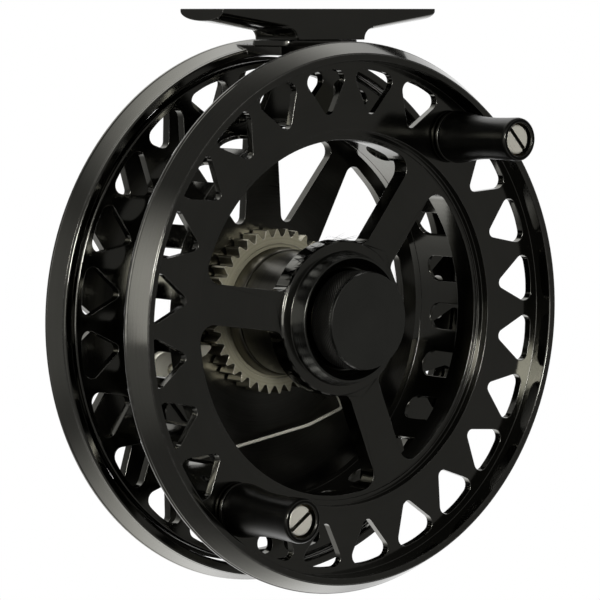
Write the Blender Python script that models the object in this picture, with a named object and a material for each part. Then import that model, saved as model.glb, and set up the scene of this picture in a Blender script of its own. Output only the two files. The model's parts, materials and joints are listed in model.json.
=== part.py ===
"""Large-arbor cantilever fly reel, as separate solids.

Frame: +Z up towards the rod, X along the rod, Y along the spool's axis.
The handles are on the -Y side.  The origin is the middle of the flat top
of the reel foot.  Sizes below are in millimetres; the model is in metres.

The spool, the frame and the gear are turned about one axis, so they are
drawn about the empty "reel_axis".  Its own y = 0 is the front face of the
spool's rim, and y grows towards the back plate.
"""
import math

import bmesh
import bpy
from mathutils import Matrix, Vector

MM = 0.001
GAP = 0.3                      # left between pieces that touch

# ---- driving dimensions ---------------------------------------------------
AXIS_DROP = 64.8               # foot's top face above the spool's axis
FOOT_LENGTH = 57.8
FOOT_WIDTH = 14.4
FOOT_FRONT = 10.0              # y of the foot's front edge behind the rim
RIM_RADIUS = 58.0              # spool's palming rim, the reel's radius
RIM_FRONT_RADIUS = 55.7
RIM_INNER_RADIUS = 54.0
WEB_FRONT = 4.4                # perforated web behind the rim's front face
WEB_THICK = 1.8
STEP_RADIUS = 39.5             # where the web steps down to the spokes
SPOKE_FRONT = 6.6
SPOKE_BACK = 10.6
SPOKE_WIDTH = 8.4
WINDOW_RADIUS = 37.5
HUB_RADIUS = 16.4
BOSS_RADIUS = 14.2
BOSS_FRONT = 2.8
FLANGE_BACK = 12.0             # rear face of the front flange's inner ring
ARBOR_RADIUS = 41.4
ARBOR_INNER = 40.5
REAR_FLANGE_FRONT = 27.3
REAR_FLANGE_THICK = 2.0
REAR_FLANGE_RADIUS = 54.0
FRAME_FRONT = 26.5
FRAME_FRONT_RADIUS = 57.0
FRAME_RADIUS = 58.5
FRAME_CREST = 31.3             # y where the frame ring is widest
FRAME_BACK = 35.5
FRAME_BORE = 54.9
PLATE_FRONT = 33.0
PLATE_THICK = 2.2
PLATE_WINDOWS = ((2, 10.2), (37, 10.2), (72, 8.6), (108, 8.6), (143, 10.2), (178, 10.2))
HOLE_COUNT = 24                # positions round each spool flange
HOLE_APEX = 42.15
HOLE_BASE = 52.4
HOLE_HALF_WIDTH = 6.4
SPOOL_TURN = 52.0              # angle of the first handle, degrees from +X
HANDLE_PITCH_RADIUS = 47.6
HANDLE_TIP = -16.4
HANDLE_BASE = 3.1
GEAR_TEETH = 40
GEAR_TIP = 17.8
GEAR_ROOT = 16.2
GEAR_FRONT = 27.8
GEAR_BACK = 32.4
SHAFT_RADIUS = 3.5
KNOB_RADIUS = 10.5
KNOB_FRONT = -2.2
KNOB_BACK = 4.4
PAWL_PIVOT = (-27.6, -10.8)
PAWL_FRONT = 29.3
PAWL_BACK = 31.5

RUN = 0.1                      # radial clearance where one piece turns on another
FINE = 48                      # sides of the large turned pieces
COARSE = 16                    # sides of the small ones


# ---- scene and materials --------------------------------------------------
def clear_scene():
    for thing in list(bpy.data.objects):
        bpy.data.objects.remove(thing)


def material(name, colour, roughness, metallic):
    mat = bpy.data.materials.new(name)
    mat.use_nodes = True
    shader = mat.node_tree.nodes["Principled BSDF"]
    shader.inputs["Base Color"].default_value = (*colour, 1.0)
    shader.inputs["Roughness"].default_value = roughness
    shader.inputs["Metallic"].default_value = metallic
    return mat


clear_scene()
ANODISED = material("black_anodised", (0.018, 0.019, 0.017), 0.28, 0.9)
STEEL = material("steel", (0.42, 0.41, 0.36), 0.32, 1.0)
NICKEL = material("nickel", (0.62, 0.61, 0.52), 0.25, 1.0)
BRASS = material("brass", (0.62, 0.48, 0.22), 0.3, 1.0)
FIBRE = material("friction_fibre", (0.25, 0.2, 0.14), 0.8, 0.0)

AXIS = bpy.data.objects.new("reel_axis", None)
bpy.context.collection.objects.link(AXIS)
RIM_PLANE = -(FOOT_FRONT + FOOT_WIDTH / 2)
AXIS.location = Vector((0, RIM_PLANE, -AXIS_DROP)) * MM


# ---- shape helpers --------------------------------------------------------
def polar(radius, degrees):
    a = math.radians(degrees)
    return (radius * math.cos(a), radius * math.sin(a))


def add_object(name, bm, mat, parent=AXIS, place=(0, 0, 0)):
    """Make the named object; coordinates and place are in millimetres."""
    bmesh.ops.recalc_face_normals(bm, faces=bm.faces)
    bmesh.ops.scale(bm, vec=(MM, MM, MM), verts=bm.verts)
    mesh = bpy.data.meshes.new(name)
    bm.to_mesh(mesh)
    bm.free()
    mesh.shade_smooth()
    mesh.set_sharp_from_angle(angle=math.radians(30))
    mesh.materials.append(mat)
    thing = bpy.data.objects.new(name, mesh)
    thing.parent = parent
    thing.location = Vector(place) * MM
    bpy.context.collection.objects.link(thing)
    return thing


def turned_mesh(profile, sides, centre=(0, 0)):
    """Spin a closed (radius, y) outline about the Y axis through centre."""
    bm = bmesh.new()
    rings = []
    for radius, y in profile:
        if radius == 0:
            rings.append([bm.verts.new((centre[0], y, centre[1]))])
            continue
        ring = []
        for i in range(sides):
            x, z = polar(radius, 360 * i / sides)
            ring.append(bm.verts.new((centre[0] + x, y, centre[1] + z)))
        rings.append(ring)
    count = len(rings)
    for n in range(count):
        a, b = rings[n], rings[(n + 1) % count]
        for i in range(sides):
            j = (i + 1) % sides
            if len(a) == 1 and len(b) == 1:
                break
            if len(a) == 1:
                bm.faces.new((a[0], b[j], b[i]))
            elif len(b) == 1:
                bm.faces.new((a[i], a[j], b[0]))
            else:
                bm.faces.new((a[i], a[j], b[j], b[i]))
    return bm


def turned(name, profile, mat, sides=COARSE, centre=(0, 0)):
    """A turned piece whose own origin is on its axis."""
    return add_object(name, turned_mesh(profile, sides), mat,
                      place=(centre[0], 0, centre[1]))


def ring_profile(inner, outer, front, back):
    return [(inner, front), (outer, front), (outer, back), (inner, back)]


def rod_profile(radius, front, back):
    return [(0, front), (radius, front), (radius, back), (0, back)]


def prism_into(bm, outline, front, back):
    """Add the solid between y = front and y = back over an (x, z) outline."""
    near = [bm.verts.new((x, front, z)) for x, z in outline]
    far = [bm.verts.new((x, back, z)) for x, z in outline]
    count = len(outline)
    bm.faces.new(near)
    bm.faces.new(list(reversed(far)))
    for i in range(count):
        j = (i + 1) % count
        bm.faces.new((near[j], near[i], far[i], far[j]))


def prism(name, outline, front, back, mat, centre=(0, 0)):
    bm = bmesh.new()
    prism_into(bm, outline, front, back)
    return add_object(name, bm, mat, place=(centre[0], 0, centre[1]))


def rounded(points, radii, steps=4):
    """Round the corners of a straight-sided outline with arcs."""
    out = []
    count = len(points)
    for i, point in enumerate(points):
        here = Vector(point)
        to_last = (Vector(points[i - 1]) - here).normalized()
        to_next = (Vector(points[(i + 1) % count]) - here).normalized()
        half = to_last.angle(to_next) / 2
        radius = radii[i] if isinstance(radii, (list, tuple)) else radii
        reach = radius / math.tan(half)
        centre = here + (to_last + to_next).normalized() * (radius / math.sin(half))
        first = here + to_last * reach - centre
        last = here + to_next * reach - centre
        sweep = first.angle_signed(last)
        for n in range(steps + 1):
            turn = Matrix.Rotation(-sweep * n / steps, 2)
            spot = centre + turn @ first
            out.append((spot.x, spot.y))
    return out


def circle(radius, x, z, sides=12):
    return [(x + dx, z + dz) for dx, dz in
            (polar(radius, 360 * n / sides) for n in range(sides))]


def spun(outline, degrees):
    c, s = polar(1, degrees)
    return [(x * c - z * s, x * s + z * c) for x, z in outline]


def cutter(name, bm, place=(0, 0, 0)):
    thing = add_object(name, bm, ANODISED, place=place)
    thing.hide_render = True
    thing.display_type = "WIRE"
    return thing


def combine(piece, tool, operation="DIFFERENCE"):
    step = piece.modifiers.new(operation.lower(), "BOOLEAN")
    step.operation = operation
    step.solver = "EXACT"
    step.object = tool


# ---- spool ----------------------------------------------------------------
def flange_hole():
    """Rounded triangle between two of a flange's thin ribs, on the +X ray."""
    corners = [(HOLE_APEX, 0), (HOLE_BASE - 0.5, HOLE_HALF_WIDTH),
               (HOLE_BASE + 0.2, 0), (HOLE_BASE - 0.5, -HOLE_HALF_WIDTH)]
    return rounded(corners, [1.3, 1.9, 20.0, 1.9], steps=2)


def flange_holes(front, back, skip=()):
    bm = bmesh.new()
    for n in range(HOLE_COUNT):
        if n in skip:
            continue
        turn = SPOOL_TURN + 360 * n / HOLE_COUNT
        prism_into(bm, spun(flange_hole(), turn), front, back)
    return bm


def spoke_window(outer_fillet=3.2, hub_fillet=2.4, arc_steps=10):
    """Outline between two parallel-sided spokes, the first on the +X ray."""
    half = SPOKE_WIDTH / 2
    out_x = math.sqrt((WINDOW_RADIUS - outer_fillet) ** 2 - (half + outer_fillet) ** 2)
    out_angle = math.degrees(math.atan2(half + outer_fillet, out_x))
    hub_x = math.sqrt((HUB_RADIUS + hub_fillet) ** 2 - (half + hub_fillet) ** 2)
    hub_angle = math.degrees(math.atan2(half + hub_fillet, hub_x))

    def fillet(cx, cz, radius, start, end, steps=3):
        return [(cx + polar(radius, start + (end - start) * n / steps)[0],
                 cz + polar(radius, start + (end - start) * n / steps)[1])
                for n in range(steps + 1)]

    lower = fillet(hub_x, half + hub_fillet, hub_fillet, 180 + hub_angle, 270)
    lower += fillet(out_x, half + outer_fillet, outer_fillet, 270, 360 + out_angle)
    far_side = [(x, -z) for x, z in reversed(lower)]
    upper = spun(far_side, 120)
    first, last = out_angle, 120 - out_angle
    outer_arc = [polar(WINDOW_RADIUS, first + (last - first) * n / arc_steps)
                 for n in range(1, arc_steps)]
    first, last = 120 - hub_angle, hub_angle
    hub_arc = [polar(HUB_RADIUS, first + (last - first) * n / 6) for n in range(1, 6)]
    return lower + outer_arc + upper + hub_arc


def make_front_flange():
    profile = [
        (4.3, 8.3), (9.4, 8.3), (9.4, 5.2), (11.0, 5.2), (12.8, BOSS_FRONT),
        (BOSS_RADIUS - 0.9, BOSS_FRONT), (BOSS_RADIUS, SPOKE_FRONT - 1.0),
        (BOSS_RADIUS, SPOKE_FRONT - 0.5), (HUB_RADIUS - 0.3, SPOKE_FRONT - 0.5),
        (HUB_RADIUS, SPOKE_FRONT), (STEP_RADIUS, SPOKE_FRONT), (STEP_RADIUS, WEB_FRONT),
        (RIM_INNER_RADIUS, WEB_FRONT), (RIM_INNER_RADIUS, 0.3),
        (RIM_INNER_RADIUS + 0.3, 0), (RIM_FRONT_RADIUS - 0.2, 0),
        (RIM_FRONT_RADIUS, 0.25), (RIM_RADIUS, 4.5), (RIM_RADIUS - 0.4, 5.9),
        (RIM_RADIUS - 1.2, WEB_FRONT + WEB_THICK),
        (ARBOR_RADIUS, WEB_FRONT + WEB_THICK), (ARBOR_RADIUS, FLANGE_BACK),
        (WINDOW_RADIUS - 0.6, FLANGE_BACK), (WINDOW_RADIUS - 0.6, SPOKE_BACK),
        (HUB_RADIUS - 1.0, SPOKE_BACK), (HUB_RADIUS - 1.0, FLANGE_BACK),
        (4.3, FLANGE_BACK)]
    flange = turned("spool_front_flange", profile, ANODISED, sides=FINE)
    holes = flange_holes(WEB_FRONT - 1, WEB_FRONT + WEB_THICK + 1,
                         skip=(0, HOLE_COUNT // 2))
    combine(flange, cutter("cut_flange_holes", holes))
    windows = bmesh.new()
    for n in range(3):
        prism_into(windows, spun(spoke_window(), SPOOL_TURN + 120 * n), 2, 14)
    combine(flange, cutter("cut_spoke_windows", windows))
    bores = bmesh.new()
    for x, z in handle_centres():
        prism_into(bores, circle(2.2, x, z), WEB_FRONT - 1, WEB_FRONT + WEB_THICK + 1)
    combine(flange, cutter("cut_handle_bores", bores))


def make_arbor():
    """Slotted drum that the line winds on; its slots open to the front."""
    arbor = turned("spool_arbor",
                   ring_profile(ARBOR_INNER, ARBOR_RADIUS, FLANGE_BACK + GAP,
                                REAR_FLANGE_FRONT - GAP), ANODISED, sides=FINE)
    slots = bmesh.new()
    half = 2.85
    slot_end = 21.4
    slot_lag = 3.5
    for n in range(HOLE_COUNT):
        outline = [(-half, FLANGE_BACK - 1), (half, FLANGE_BACK - 1)]
        outline += [(x, slot_end + y) for x, y in (polar(half, 45 * k) for k in range(5))]
        turn = SPOOL_TURN + 360 * (n + 0.5) / HOLE_COUNT - slot_lag
        near, far = [], []
        for across, y in outline:
            for radius, loop in ((ARBOR_INNER - 2, near), (ARBOR_RADIUS + 2, far)):
                (x, z), = spun([(radius, across)], turn)
                loop.append(slots.verts.new((x, y, z)))
        slots.faces.new(near)
        slots.faces.new(list(reversed(far)))
        for i in range(len(near)):
            j = (i + 1) % len(near)
            slots.faces.new((near[j], near[i], far[i], far[j]))
    combine(arbor, cutter("cut_arbor_slots", slots))


def make_rear_flange():
    back = REAR_FLANGE_FRONT + REAR_FLANGE_THICK
    profile = [(ARBOR_INNER, REAR_FLANGE_FRONT), (REAR_FLANGE_RADIUS - 0.4, REAR_FLANGE_FRONT),
               (REAR_FLANGE_RADIUS, REAR_FLANGE_FRONT + 0.4),
               (REAR_FLANGE_RADIUS, back), (ARBOR_INNER, back)]
    flange = turned("spool_rear_flange", profile, ANODISED, sides=FINE)
    combine(flange, cutter("cut_rear_holes", flange_holes(REAR_FLANGE_FRONT - 1, back + 1)))


def make_hub():
    """Bearing tube behind the spokes, with its bearings and gear collar."""
    turned("spool_hub", [(7.3, FLANGE_BACK + GAP), (13.2, FLANGE_BACK + GAP),
                         (13.2, 24.2), (7.3, 24.2)], ANODISED, sides=36)
    turned("front_bearing", ring_profile(SHAFT_RADIUS + RUN, 7.0, 12.7, 16.7), STEEL)
    turned("bearing_spacer", ring_profile(4.6, 7.0, 17.0, 19.7), ANODISED)
    turned("rear_bearing", ring_profile(SHAFT_RADIUS + RUN, 7.0, 20.0, 24.0), STEEL)
    collar = turned("gear_collar", [(4.6, 24.5), (13.5, 24.5), (13.9, 24.9), (13.9, 27.5),
                                    (4.6, 27.5)], STEEL, sides=36)
    pockets = bmesh.new()
    for n in range(3):
        x, z = polar(11.6, SPOOL_TURN + 60 + 120 * n)
        prism_into(pockets, circle(1.3, x, z), 25.6, GEAR_BACK + 1)
        turned(f"gear_screw_{n + 1}", rod_profile(1.0, 26.0, GEAR_BACK - 0.4), NICKEL,
               sides=12, centre=(x, z))
    return collar, cutter("cut_gear_screws", pockets)


def make_gear(screw_pockets):
    """Toothed ring: each tooth is one root point and two tip points."""
    bm = bmesh.new()
    pitch = 360 / GEAR_TEETH
    loops = []
    for y in (GEAR_FRONT, GEAR_BACK):
        outer, inner = [], []
        for n in range(GEAR_TEETH):
            for radius, share in ((GEAR_ROOT, -0.4), (GEAR_TIP, 0.05), (GEAR_TIP, 0.17)):
                x, z = polar(radius, (n + share) * pitch)
                outer.append(bm.verts.new((x, y, z)))
                x, z = polar(9.5, (n + share) * pitch)
                inner.append(bm.verts.new((x, y, z)))
        loops.append((outer, inner))
    (front_outer, front_inner), (back_outer, back_inner) = loops
    rings = (front_inner, front_outer, back_outer, back_inner)
    for a, b in zip(rings, rings[1:] + rings[:1]):
        for i in range(len(a)):
            j = (i + 1) % len(a)
            bm.faces.new((a[i], a[j], b[j], b[i]))
    gear = add_object("click_gear", bm, STEEL)
    combine(gear, screw_pockets)


# ---- handles --------------------------------------------------------------
def handle_centres():
    return [polar(HANDLE_PITCH_RADIUS, SPOOL_TURN + 180 * n) for n in range(2)]


def make_handle(number, centre, slot_angle):
    """Grip turning on a bushed, slotted shoulder screw in the web."""
    bore = 2.8
    grip = [(bore + 0.05, HANDLE_BASE), (5.6, HANDLE_BASE), (5.5, 0.8), (4.9, -2.0),
            (4.5, -5.0), (4.45, -9.0), (4.6, HANDLE_TIP + 0.4), (4.2, HANDLE_TIP),
            (3.5, HANDLE_TIP), (3.5, -13.0), (bore + 0.05, -13.0)]
    turned(f"handle_{number}_grip", grip, ANODISED, sides=20, centre=centre)
    bush = [(2.0, 2.8), (bore, 2.8), (bore, -13.3), (3.3, -13.3), (3.3, -13.9), (2.0, -13.9)]
    turned(f"handle_{number}_bush", bush, BRASS, sides=20, centre=centre)
    screw = turned(f"handle_{number}_screw",
                   [(0, -15.7), (2.8, -15.7), (3.05, -15.45), (3.05, -14.2), (1.9, -14.2),
                    (1.9, WEB_FRONT + WEB_THICK - 0.1), (0, WEB_FRONT + WEB_THICK - 0.1)],
                   NICKEL, sides=20, centre=centre)
    slot = bmesh.new()
    prism_into(slot, spun([(-4, -0.45), (4, -0.45), (4, 0.45), (-4, 0.45)], slot_angle),
               -17, -14.9)
    combine(screw, cutter(f"cut_slot_{number}", slot, place=(centre[0], 0, centre[1])))
    turned(f"handle_{number}_washer", ring_profile(2.2, 5.5, 3.4, 4.1), ANODISED,
           sides=20, centre=centre)


# ---- knob and spool tension -----------------------------------------------
def make_knob():
    turned("spool_knob", [(5.5, KNOB_BACK), (KNOB_RADIUS - 0.5, KNOB_BACK),
                          (KNOB_RADIUS, KNOB_BACK - 0.5), (KNOB_RADIUS, KNOB_FRONT + 0.6),
                          (KNOB_RADIUS - 0.45, KNOB_FRONT), (0, KNOB_FRONT), (0, -0.4),
                          (5.5, -0.4)], ANODISED, sides=36)
    turned("knob_insert", ring_profile(SHAFT_RADIUS + RUN, 5.2, 0.0, KNOB_BACK), BRASS)
    turned("spring_washer", ring_profile(4.0, 8.8, 4.7, 5.3), STEEL)
    turned("pressure_plate", ring_profile(4.0, 9.0, 5.6, 6.7), STEEL)
    turned("friction_washer", ring_profile(4.3, 9.0, 7.2, 8.0), FIBRE)


# ---- frame ----------------------------------------------------------------
def make_frame_ring():
    profile = [(FRAME_BORE + 0.5, FRAME_FRONT), (FRAME_FRONT_RADIUS, FRAME_FRONT),
               (FRAME_RADIUS, FRAME_CREST), (FRAME_RADIUS - 2.9, FRAME_CREST + 3.1),
               (FRAME_RADIUS - 2.9, FRAME_BACK), (FRAME_BORE, FRAME_BACK),
               (FRAME_BORE, FRAME_FRONT + 0.5)]
    ring = turned("frame_ring", profile, ANODISED, sides=FINE)
    bridge = upright_prism([(-9.5, 15.1), (9.5, 15.1), (9.5, 30.0), (-9.5, 30.0)], 55.2, 57.2)
    combine(ring, cutter("add_bridge", bridge), "UNION")
    pad = upright_prism(rounded([(-9.9, 12.6), (9.9, 12.6), (9.9, 25.8), (-9.9, 25.8)],
                                [1.5, 1.5, 2.5, 2.5], steps=2), 57.0, 58.0)
    combine(ring, cutter("add_pad", pad), "UNION")
    holes = bmesh.new()
    for x, y in foot_screw_centres():
        add_upright(holes, x, y, ((2.5, 54), (2.5, 57.2), (1.6, 57.2), (1.6, 60)))
    combine(ring, cutter("cut_bridge_holes", holes))


def upright_prism(outline, low, high):
    """Solid between z = low and z = high over an (x, y) outline."""
    bm = bmesh.new()
    bottom = [bm.verts.new((x, y, low)) for x, y in outline]
    top = [bm.verts.new((x, y, high)) for x, y in outline]
    bm.faces.new(list(reversed(bottom)))
    bm.faces.new(top)
    for i in range(len(outline)):
        j = (i + 1) % len(outline)
        bm.faces.new((bottom[i], bottom[j], top[j], top[i]))
    return bm


def add_upright(bm, x, y, steps, sides=16):
    """Add an upright round piece given by (radius, z) steps, lowest first."""
    rings = []
    for radius, z in steps:
        ring = []
        for n in range(sides):
            dx, dy = polar(radius, 360 * n / sides)
            ring.append(bm.verts.new((x + dx, y + dy, z)))
        rings.append(ring)
    bm.faces.new(list(reversed(rings[0])))
    bm.faces.new(rings[-1])
    for a, b in zip(rings, rings[1:]):
        for n in range(sides):
            m = (n + 1) % sides
            bm.faces.new((a[n], a[m], b[m], b[n]))


def make_back_plate():
    back = PLATE_FRONT + PLATE_THICK
    profile = [(5.3, PLATE_FRONT), (FRAME_BORE - GAP, PLATE_FRONT), (FRAME_BORE - GAP, back),
               (12.5, back), (11.5, back + 1.0), (5.3, back + 1.0)]
    plate = turned("back_plate", profile, ANODISED, sides=FINE)
    windows = bmesh.new()
    outer = rounded([(43.4, 0), (51.8, 6.4), (52.4, 0), (51.8, -6.4)],
                    [1.4, 1.7, 20.0, 1.7], steps=2)
    for n in range(20):
        prism_into(windows, spun(outer, 18 * n), PLATE_FRONT - 1, back + 1)
    for angle, half_width in PLATE_WINDOWS:
        inner = rounded([(17.0, 0), (38.9, half_width), (40.4, 0), (38.9, -half_width)],
                        [1.6, 2.2, 25.0, 2.2], steps=2)
        prism_into(windows, spun(inner, angle), PLATE_FRONT - 1, back + 1)
    combine(plate, cutter("cut_plate_windows", windows))


def foot_screw_centres():
    middle = FOOT_FRONT + FOOT_WIDTH / 2 + 1.6
    return [(-5.0, middle), (5.0, middle)]


def make_foot():
    """Flat-topped foot: crowned tapering wings and a short square stem."""
    top = AXIS_DROP
    half_length, half_width = FOOT_LENGTH / 2, FOOT_WIDTH / 2
    centre_y = FOOT_FRONT + half_width
    stem = 9.3
    stations = [(-half_length, 0.5, 2.5), (-20.0, 1.6, 3.4), (-13.0, 2.7, 4.4),
                (-stem, 3.6, 5.2), (stem, 3.6, 5.2), (13.0, 2.7, 4.4),
                (20.0, 1.6, 3.4), (half_length, 0.5, 2.5)]
    bm = bmesh.new()
    loops = []
    arc = 10
    for x, edge, middle in stations:
        loop = [bm.verts.new((x, centre_y - half_width, top)),
                bm.verts.new((x, centre_y + half_width, top))]
        for n in range(arc + 1):
            across = math.cos(math.pi * n / arc)
            depth = edge + (middle - edge) * math.sqrt(max(0.0, 1 - across ** 2))
            loop.append(bm.verts.new((x, centre_y + half_width * across, top - depth)))
        loops.append(loop)
    for a, b in zip(loops, loops[1:]):
        count = len(a)
        for i in range(count):
            j = (i + 1) % count
            bm.faces.new((a[i], a[j], b[j], b[i]))
    bm.faces.new(loops[0])
    bm.faces.new(list(reversed(loops[-1])))
    foot = add_object("reel_foot", bm, ANODISED)
    outline = rounded([(-stem, FOOT_FRONT), (stem, FOOT_FRONT), (stem, 25.6), (-stem, 25.6)],
                      [0.5, 0.5, 2.5, 2.5], steps=2)
    stem_bm = upright_prism(outline, 58.3, top - 2.0)
    combine(foot, cutter("add_stem", stem_bm), "UNION")
    pilot = bmesh.new()
    for x, y in foot_screw_centres():
        add_upright(pilot, x, y, ((1.6, 57), (1.6, 62.2)))
    combine(foot, cutter("cut_foot_pilots", pilot))
    for number, (x, y) in enumerate(foot_screw_centres(), start=1):
        screw = bmesh.new()
        add_upright(screw, x, y, ((2.2, 56.0), (2.2, 56.9), (1.3, 56.9), (1.3, 61.8)))
        add_object(f"foot_screw_{number}", screw, NICKEL)


def make_spindle():
    back = PLATE_FRONT + PLATE_THICK + 1.0
    turned("spindle", [(0, 0.4), (SHAFT_RADIUS, 0.4), (SHAFT_RADIUS, 28.2), (8.4, 28.2),
                       (8.4, PLATE_FRONT - GAP), (5.0, PLATE_FRONT - GAP),
                       (5.0, back + 3.0), (0, back + 3.0)], STEEL, sides=32)
    turned("spindle_washer", ring_profile(5.3, 9.5, back + GAP, back + 1.1), NICKEL)
    nut = [polar(8.2 / math.cos(math.radians(30)), 60 * n) for n in range(6)]
    nut_piece = prism("spindle_nut", nut, back + 1.4, back + 3.6, ANODISED)
    bore = turned_mesh(rod_profile(5.3, back, back + 5), 24)
    combine(nut_piece, cutter("cut_nut_bore", bore))


# ---- click work -----------------------------------------------------------
def pawl_outline():
    """Round head off-centre on the pin, a nose towards the gear and a tail."""
    nose = math.hypot(*PAWL_PIVOT) - GEAR_TIP - 0.55
    head = [(-1.1 + x, 0.95 + z) for x, z in circle(3.3, 0, 0, 18)]
    outline = [(nose, 0.35), (nose, -0.35), (nose - 1.8, -1.1), (3.4, -1.3)]
    outline += head[16:11:-1]
    outline += [(-5.2, -3.6), (-5.9, -2.5)]
    outline += head[9:0:-1]
    outline += [(nose - 1.8, 1.1)]
    return outline


def make_click():
    towards_gear = math.degrees(math.atan2(-PAWL_PIVOT[1], -PAWL_PIVOT[0]))
    pawl = prism("click_pawl", spun(pawl_outline(), towards_gear), PAWL_FRONT, PAWL_BACK,
                 STEEL, centre=PAWL_PIVOT)
    bore = turned_mesh(rod_profile(1.05, PAWL_FRONT - 1, PAWL_BACK + 1), 16)
    combine(pawl, cutter("cut_pawl_bore", bore, place=(PAWL_PIVOT[0], 0, PAWL_PIVOT[1])))
    turned("pawl_pin", rod_profile(0.8, 28.4, PLATE_FRONT - GAP), STEEL, sides=16,
           centre=PAWL_PIVOT)
    centre = (-27.0, -20.0)
    post = turned("spring_post", [(0, 28.0), (3.2, 28.0), (3.4, 28.2), (3.4, 29.6),
                                  (1.5, 29.6), (1.5, PLATE_FRONT - GAP),
                                  (0, PLATE_FRONT - GAP)], ANODISED,
                  sides=20, centre=centre)
    slot = bmesh.new()
    prism_into(slot, spun([(-4, -0.6), (4, -0.6), (4, 0.6), (-4, 0.6)], -51), 27, 29.0)
    combine(post, cutter("cut_post_slot", slot, place=(centre[0], 0, centre[1])))
    turned("spring_anchor", rod_profile(1.0, 29.2, PLATE_FRONT - GAP), STEEL, sides=12,
           centre=(19.1, -17.4))
    panel_screw()
    wire_spring()


def panel_screw():
    centre = (25.0, -38.4)
    screw = turned("panel_screw", [(0, 31.6), (2.0, 31.6), (2.2, 31.8),
                                   (2.2, PLATE_FRONT - GAP), (0, PLATE_FRONT - GAP)],
                   STEEL, centre=centre)
    slot = bmesh.new()
    prism_into(slot, spun([(-3, -0.35), (3, -0.35), (3, 0.35), (-3, 0.35)], 30), 31, 32.1)
    combine(screw, cutter("cut_panel_slot", slot, place=(centre[0], 0, centre[1])))


def wire_spring():
    """Bent spring wire from the anchor, round below, up to the pawl's tail."""
    route = [(17.3, -17.1), (20.2, -22.6), (10.6, -25.7), (-8.6, -28.7), (-20.5, -30.6),
             (-26.0, -29.0), (-30.8, -24.5), (-33.0, -20.0), (-33.4, -16.6)]
    curve = bpy.data.curves.new("click_spring", "CURVE")
    curve.dimensions = "3D"
    curve.bevel_depth = 0.35 * MM
    curve.bevel_resolution = 1
    curve.use_fill_caps = True
    spline = curve.splines.new("POLY")
    path = smooth_bends(route)
    spline.points.add(len(path) - 1)
    for point, (x, z) in zip(spline.points, path):
        point.co = (x * MM, 30.4 * MM, z * MM, 1)
    curve.materials.append(NICKEL)
    thing = bpy.data.objects.new("click_spring", curve)
    thing.parent = AXIS
    bpy.context.collection.objects.link(thing)


def smooth_bends(route, radius=1.1, steps=3):
    """Straight runs with a short arc at each bend."""
    path = [route[0]]
    for before, here, after in zip(route, route[1:], route[2:]):
        here_v = Vector(here)
        back, ahead = Vector(before) - here_v, Vector(after) - here_v
        reach = min(radius, back.length / 2.2, ahead.length / 2.2)
        start = here_v + back.normalized() * reach
        end = here_v + ahead.normalized() * reach
        for n in range(steps + 1):
            t = n / steps
            spot = start * (1 - t) ** 2 + here_v * 2 * t * (1 - t) + end * t ** 2
            path.append((spot.x, spot.y))
    path.append(route[-1])
    return path


def main():
    make_front_flange()
    make_arbor()
    make_rear_flange()
    collar, screw_pockets = make_hub()
    combine(collar, screw_pockets)
    make_gear(screw_pockets)
    for number, (centre, slot_angle) in enumerate(zip(handle_centres(), (-48, 35)), start=1):
        make_handle(number, centre, slot_angle)
    make_knob()
    make_frame_ring()
    make_back_plate()
    make_foot()
    make_spindle()
    make_click()


main()
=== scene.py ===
"""Looks for the fly reel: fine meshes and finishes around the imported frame."""
import json
import math

import bmesh
import bpy
from mathutils import Matrix, Vector


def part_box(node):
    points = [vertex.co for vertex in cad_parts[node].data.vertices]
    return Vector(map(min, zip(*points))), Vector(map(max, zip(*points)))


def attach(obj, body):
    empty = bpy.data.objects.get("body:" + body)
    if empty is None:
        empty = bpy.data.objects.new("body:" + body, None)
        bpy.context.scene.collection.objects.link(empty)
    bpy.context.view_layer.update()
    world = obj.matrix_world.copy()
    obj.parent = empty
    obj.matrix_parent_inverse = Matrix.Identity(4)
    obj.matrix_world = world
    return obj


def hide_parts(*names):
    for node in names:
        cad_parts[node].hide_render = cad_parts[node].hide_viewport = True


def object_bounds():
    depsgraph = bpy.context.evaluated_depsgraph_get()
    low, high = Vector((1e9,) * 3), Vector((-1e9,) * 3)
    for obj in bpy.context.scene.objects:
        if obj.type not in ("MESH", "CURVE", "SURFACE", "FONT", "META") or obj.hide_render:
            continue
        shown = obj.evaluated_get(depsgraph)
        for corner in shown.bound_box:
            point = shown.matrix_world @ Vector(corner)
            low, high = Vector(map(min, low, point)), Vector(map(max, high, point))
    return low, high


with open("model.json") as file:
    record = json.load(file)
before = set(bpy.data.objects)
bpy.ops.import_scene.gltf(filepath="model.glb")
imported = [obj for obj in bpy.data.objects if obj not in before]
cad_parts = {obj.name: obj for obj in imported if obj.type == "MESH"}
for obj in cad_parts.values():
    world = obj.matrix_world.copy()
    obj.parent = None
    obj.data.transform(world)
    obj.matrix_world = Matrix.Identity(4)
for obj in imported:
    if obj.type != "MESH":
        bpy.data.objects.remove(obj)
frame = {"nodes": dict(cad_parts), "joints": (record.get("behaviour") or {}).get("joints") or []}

CAD_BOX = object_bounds()
MM = 0.001
JOINTS = {joint["name"]: joint for joint in frame["joints"]}
AXIS = Vector(JOINTS["spool_turn"]["pos_m"])        # middle of the rim's front plane
FOOT_LOW, FOOT_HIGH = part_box("reel_foot")

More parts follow.
